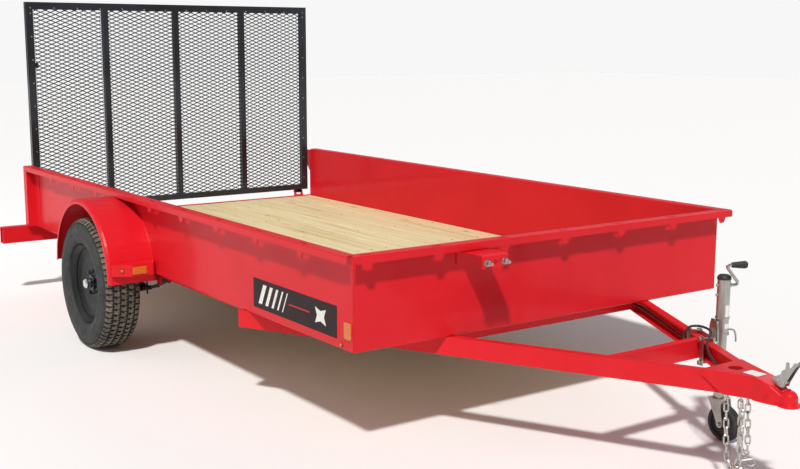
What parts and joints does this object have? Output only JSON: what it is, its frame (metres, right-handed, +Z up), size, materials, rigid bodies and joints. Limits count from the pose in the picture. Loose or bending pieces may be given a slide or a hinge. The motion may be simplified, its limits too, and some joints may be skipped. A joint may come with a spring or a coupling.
{
  "type": "utility trailer",
  "caption": "Single-axle utility trailer with solid red steel sides, pine plank deck, black mesh ramp gate at the rear, A-frame tongue and a swivel jack with wheel.",
  "frame": {"origin": "centre of the footprint, at ground level under the wheels", "axes": "+X forward to the coupler, +Y to the left, +Z up"},
  "size_m": [5.0693, 2.576, 1.8365],
  "materials": {
    "red_paint": "gloss",
    "black_paint": "semi-gloss",
    "black_steel": "matt",
    "pine": "rough sawn",
    "zinc": "zinc plated",
    "tyre_rubber": "matt",
    "grip_rubber": "matt",
    "wheel_steel": "satin",
    "red_lens": "gloss",
    "cable_jacket": "matt"
  },
  "bodies": {
    "trailer": {"side_wall_right": "red_paint", "side_wall_left": "red_paint", "front_wall": "red_paint", "deck": "pine", "rear_sill": "red_paint", "rear_bar": "red_paint", "tail_lamp_right": "red_lens", "tail_lamp_left": "red_lens", "rear_post_right": "red_paint", "rear_post_left": "red_paint", "floor_rail_right": "red_paint", "floor_rail_left": "red_paint", "crossmember_1": "red_paint", "crossmember_2": "red_paint", "crossmember_3": "red_paint", "crossmember_4": "red_paint", "crossmember_5": "red_paint", "crossmember_6": "red_paint", "crossmember_7": "red_paint", "tongue_leg_right": "red_paint", "tongue_leg_left": "red_paint", "tongue_crossbar": "red_paint", "coupler": "red_paint", "coupler_latch": "zinc", "front_bracket": "red_paint", "bracket_stud_1": "zinc", "bracket_stud_2": "zinc", "axle_beam": "red_paint", "leaf_spring_right": "black_steel", "leaf_spring_left": "black_steel", "fender_right": "red_paint", "fender_left": "red_paint", "lamp_box_right": "red_paint", "lamp_box_left": "red_paint", "gate_hinge_right": "red_paint", "gate_hinge_left": "red_paint", "jack_mount": "zinc", "safety_chain_right": "zinc", "safety_chain_left": "zinc", "lighting_cable": "cable_jacket"},
    "wheel_right": {"tyre_right": "tyre_rubber", "rim_right": "wheel_steel", "hub_right": "zinc"},
    "wheel_left": {"tyre_left": "tyre_rubber", "rim_left": "wheel_steel", "hub_left": "zinc"},
    "ramp_gate": {"gate_frame": "black_paint", "gate_mesh": "black_paint"},
    "jack_mast": {"jack_tube": "zinc", "jack_crank": "zinc", "jack_grip": "grip_rubber"},
    "jack_leg": {"jack_inner_tube": "zinc"},
    "jack_caster": {"jack_fork": "zinc"},
    "jack_roller": {"jack_wheel": "grip_rubber"}
  },
  "joints": [
    {"name": "wheel_right_spin", "type": "hinge", "parent": "trailer", "child": "wheel_right", "pos_m": [-0.9243, -1.1855, 0.343], "axis": [0, 1, 0], "continuous": true},
    {"name": "wheel_left_spin", "type": "hinge", "parent": "trailer", "child": "wheel_left", "pos_m": [-0.9243, 1.1855, 0.343], "axis": [0, 1, 0], "continuous": true},
    {"name": "gate_hinge", "type": "hinge", "parent": "trailer", "child": "ramp_gate", "pos_m": [-2.5088, 0, 0.5015], "axis": [0, -1, 0], "range_deg": [0, 111]},
    {"name": "jack_swivel", "type": "hinge", "parent": "trailer", "child": "jack_mast", "pos_m": [1.9051, 0.3069, 0.392], "axis": [0.4633, 0.8862, 0], "range_deg": [0, 90]},
    {"name": "jack_extend", "type": "slide", "parent": "jack_mast", "child": "jack_leg", "axis": [0, 0, 1], "range_m": [-0.03, 0.16]},
    {"name": "jack_caster_swivel", "type": "hinge", "parent": "jack_leg", "child": "jack_caster", "pos_m": [1.9201, 0.3357, 0.176], "axis": [0, 0, 1], "continuous": true},
    {"name": "jack_wheel_spin", "type": "hinge", "parent": "jack_caster", "child": "jack_roller", "pos_m": [1.9551, 0.3357, 0.076], "axis": [0, 1, 0], "continuous": true}
  ]
}
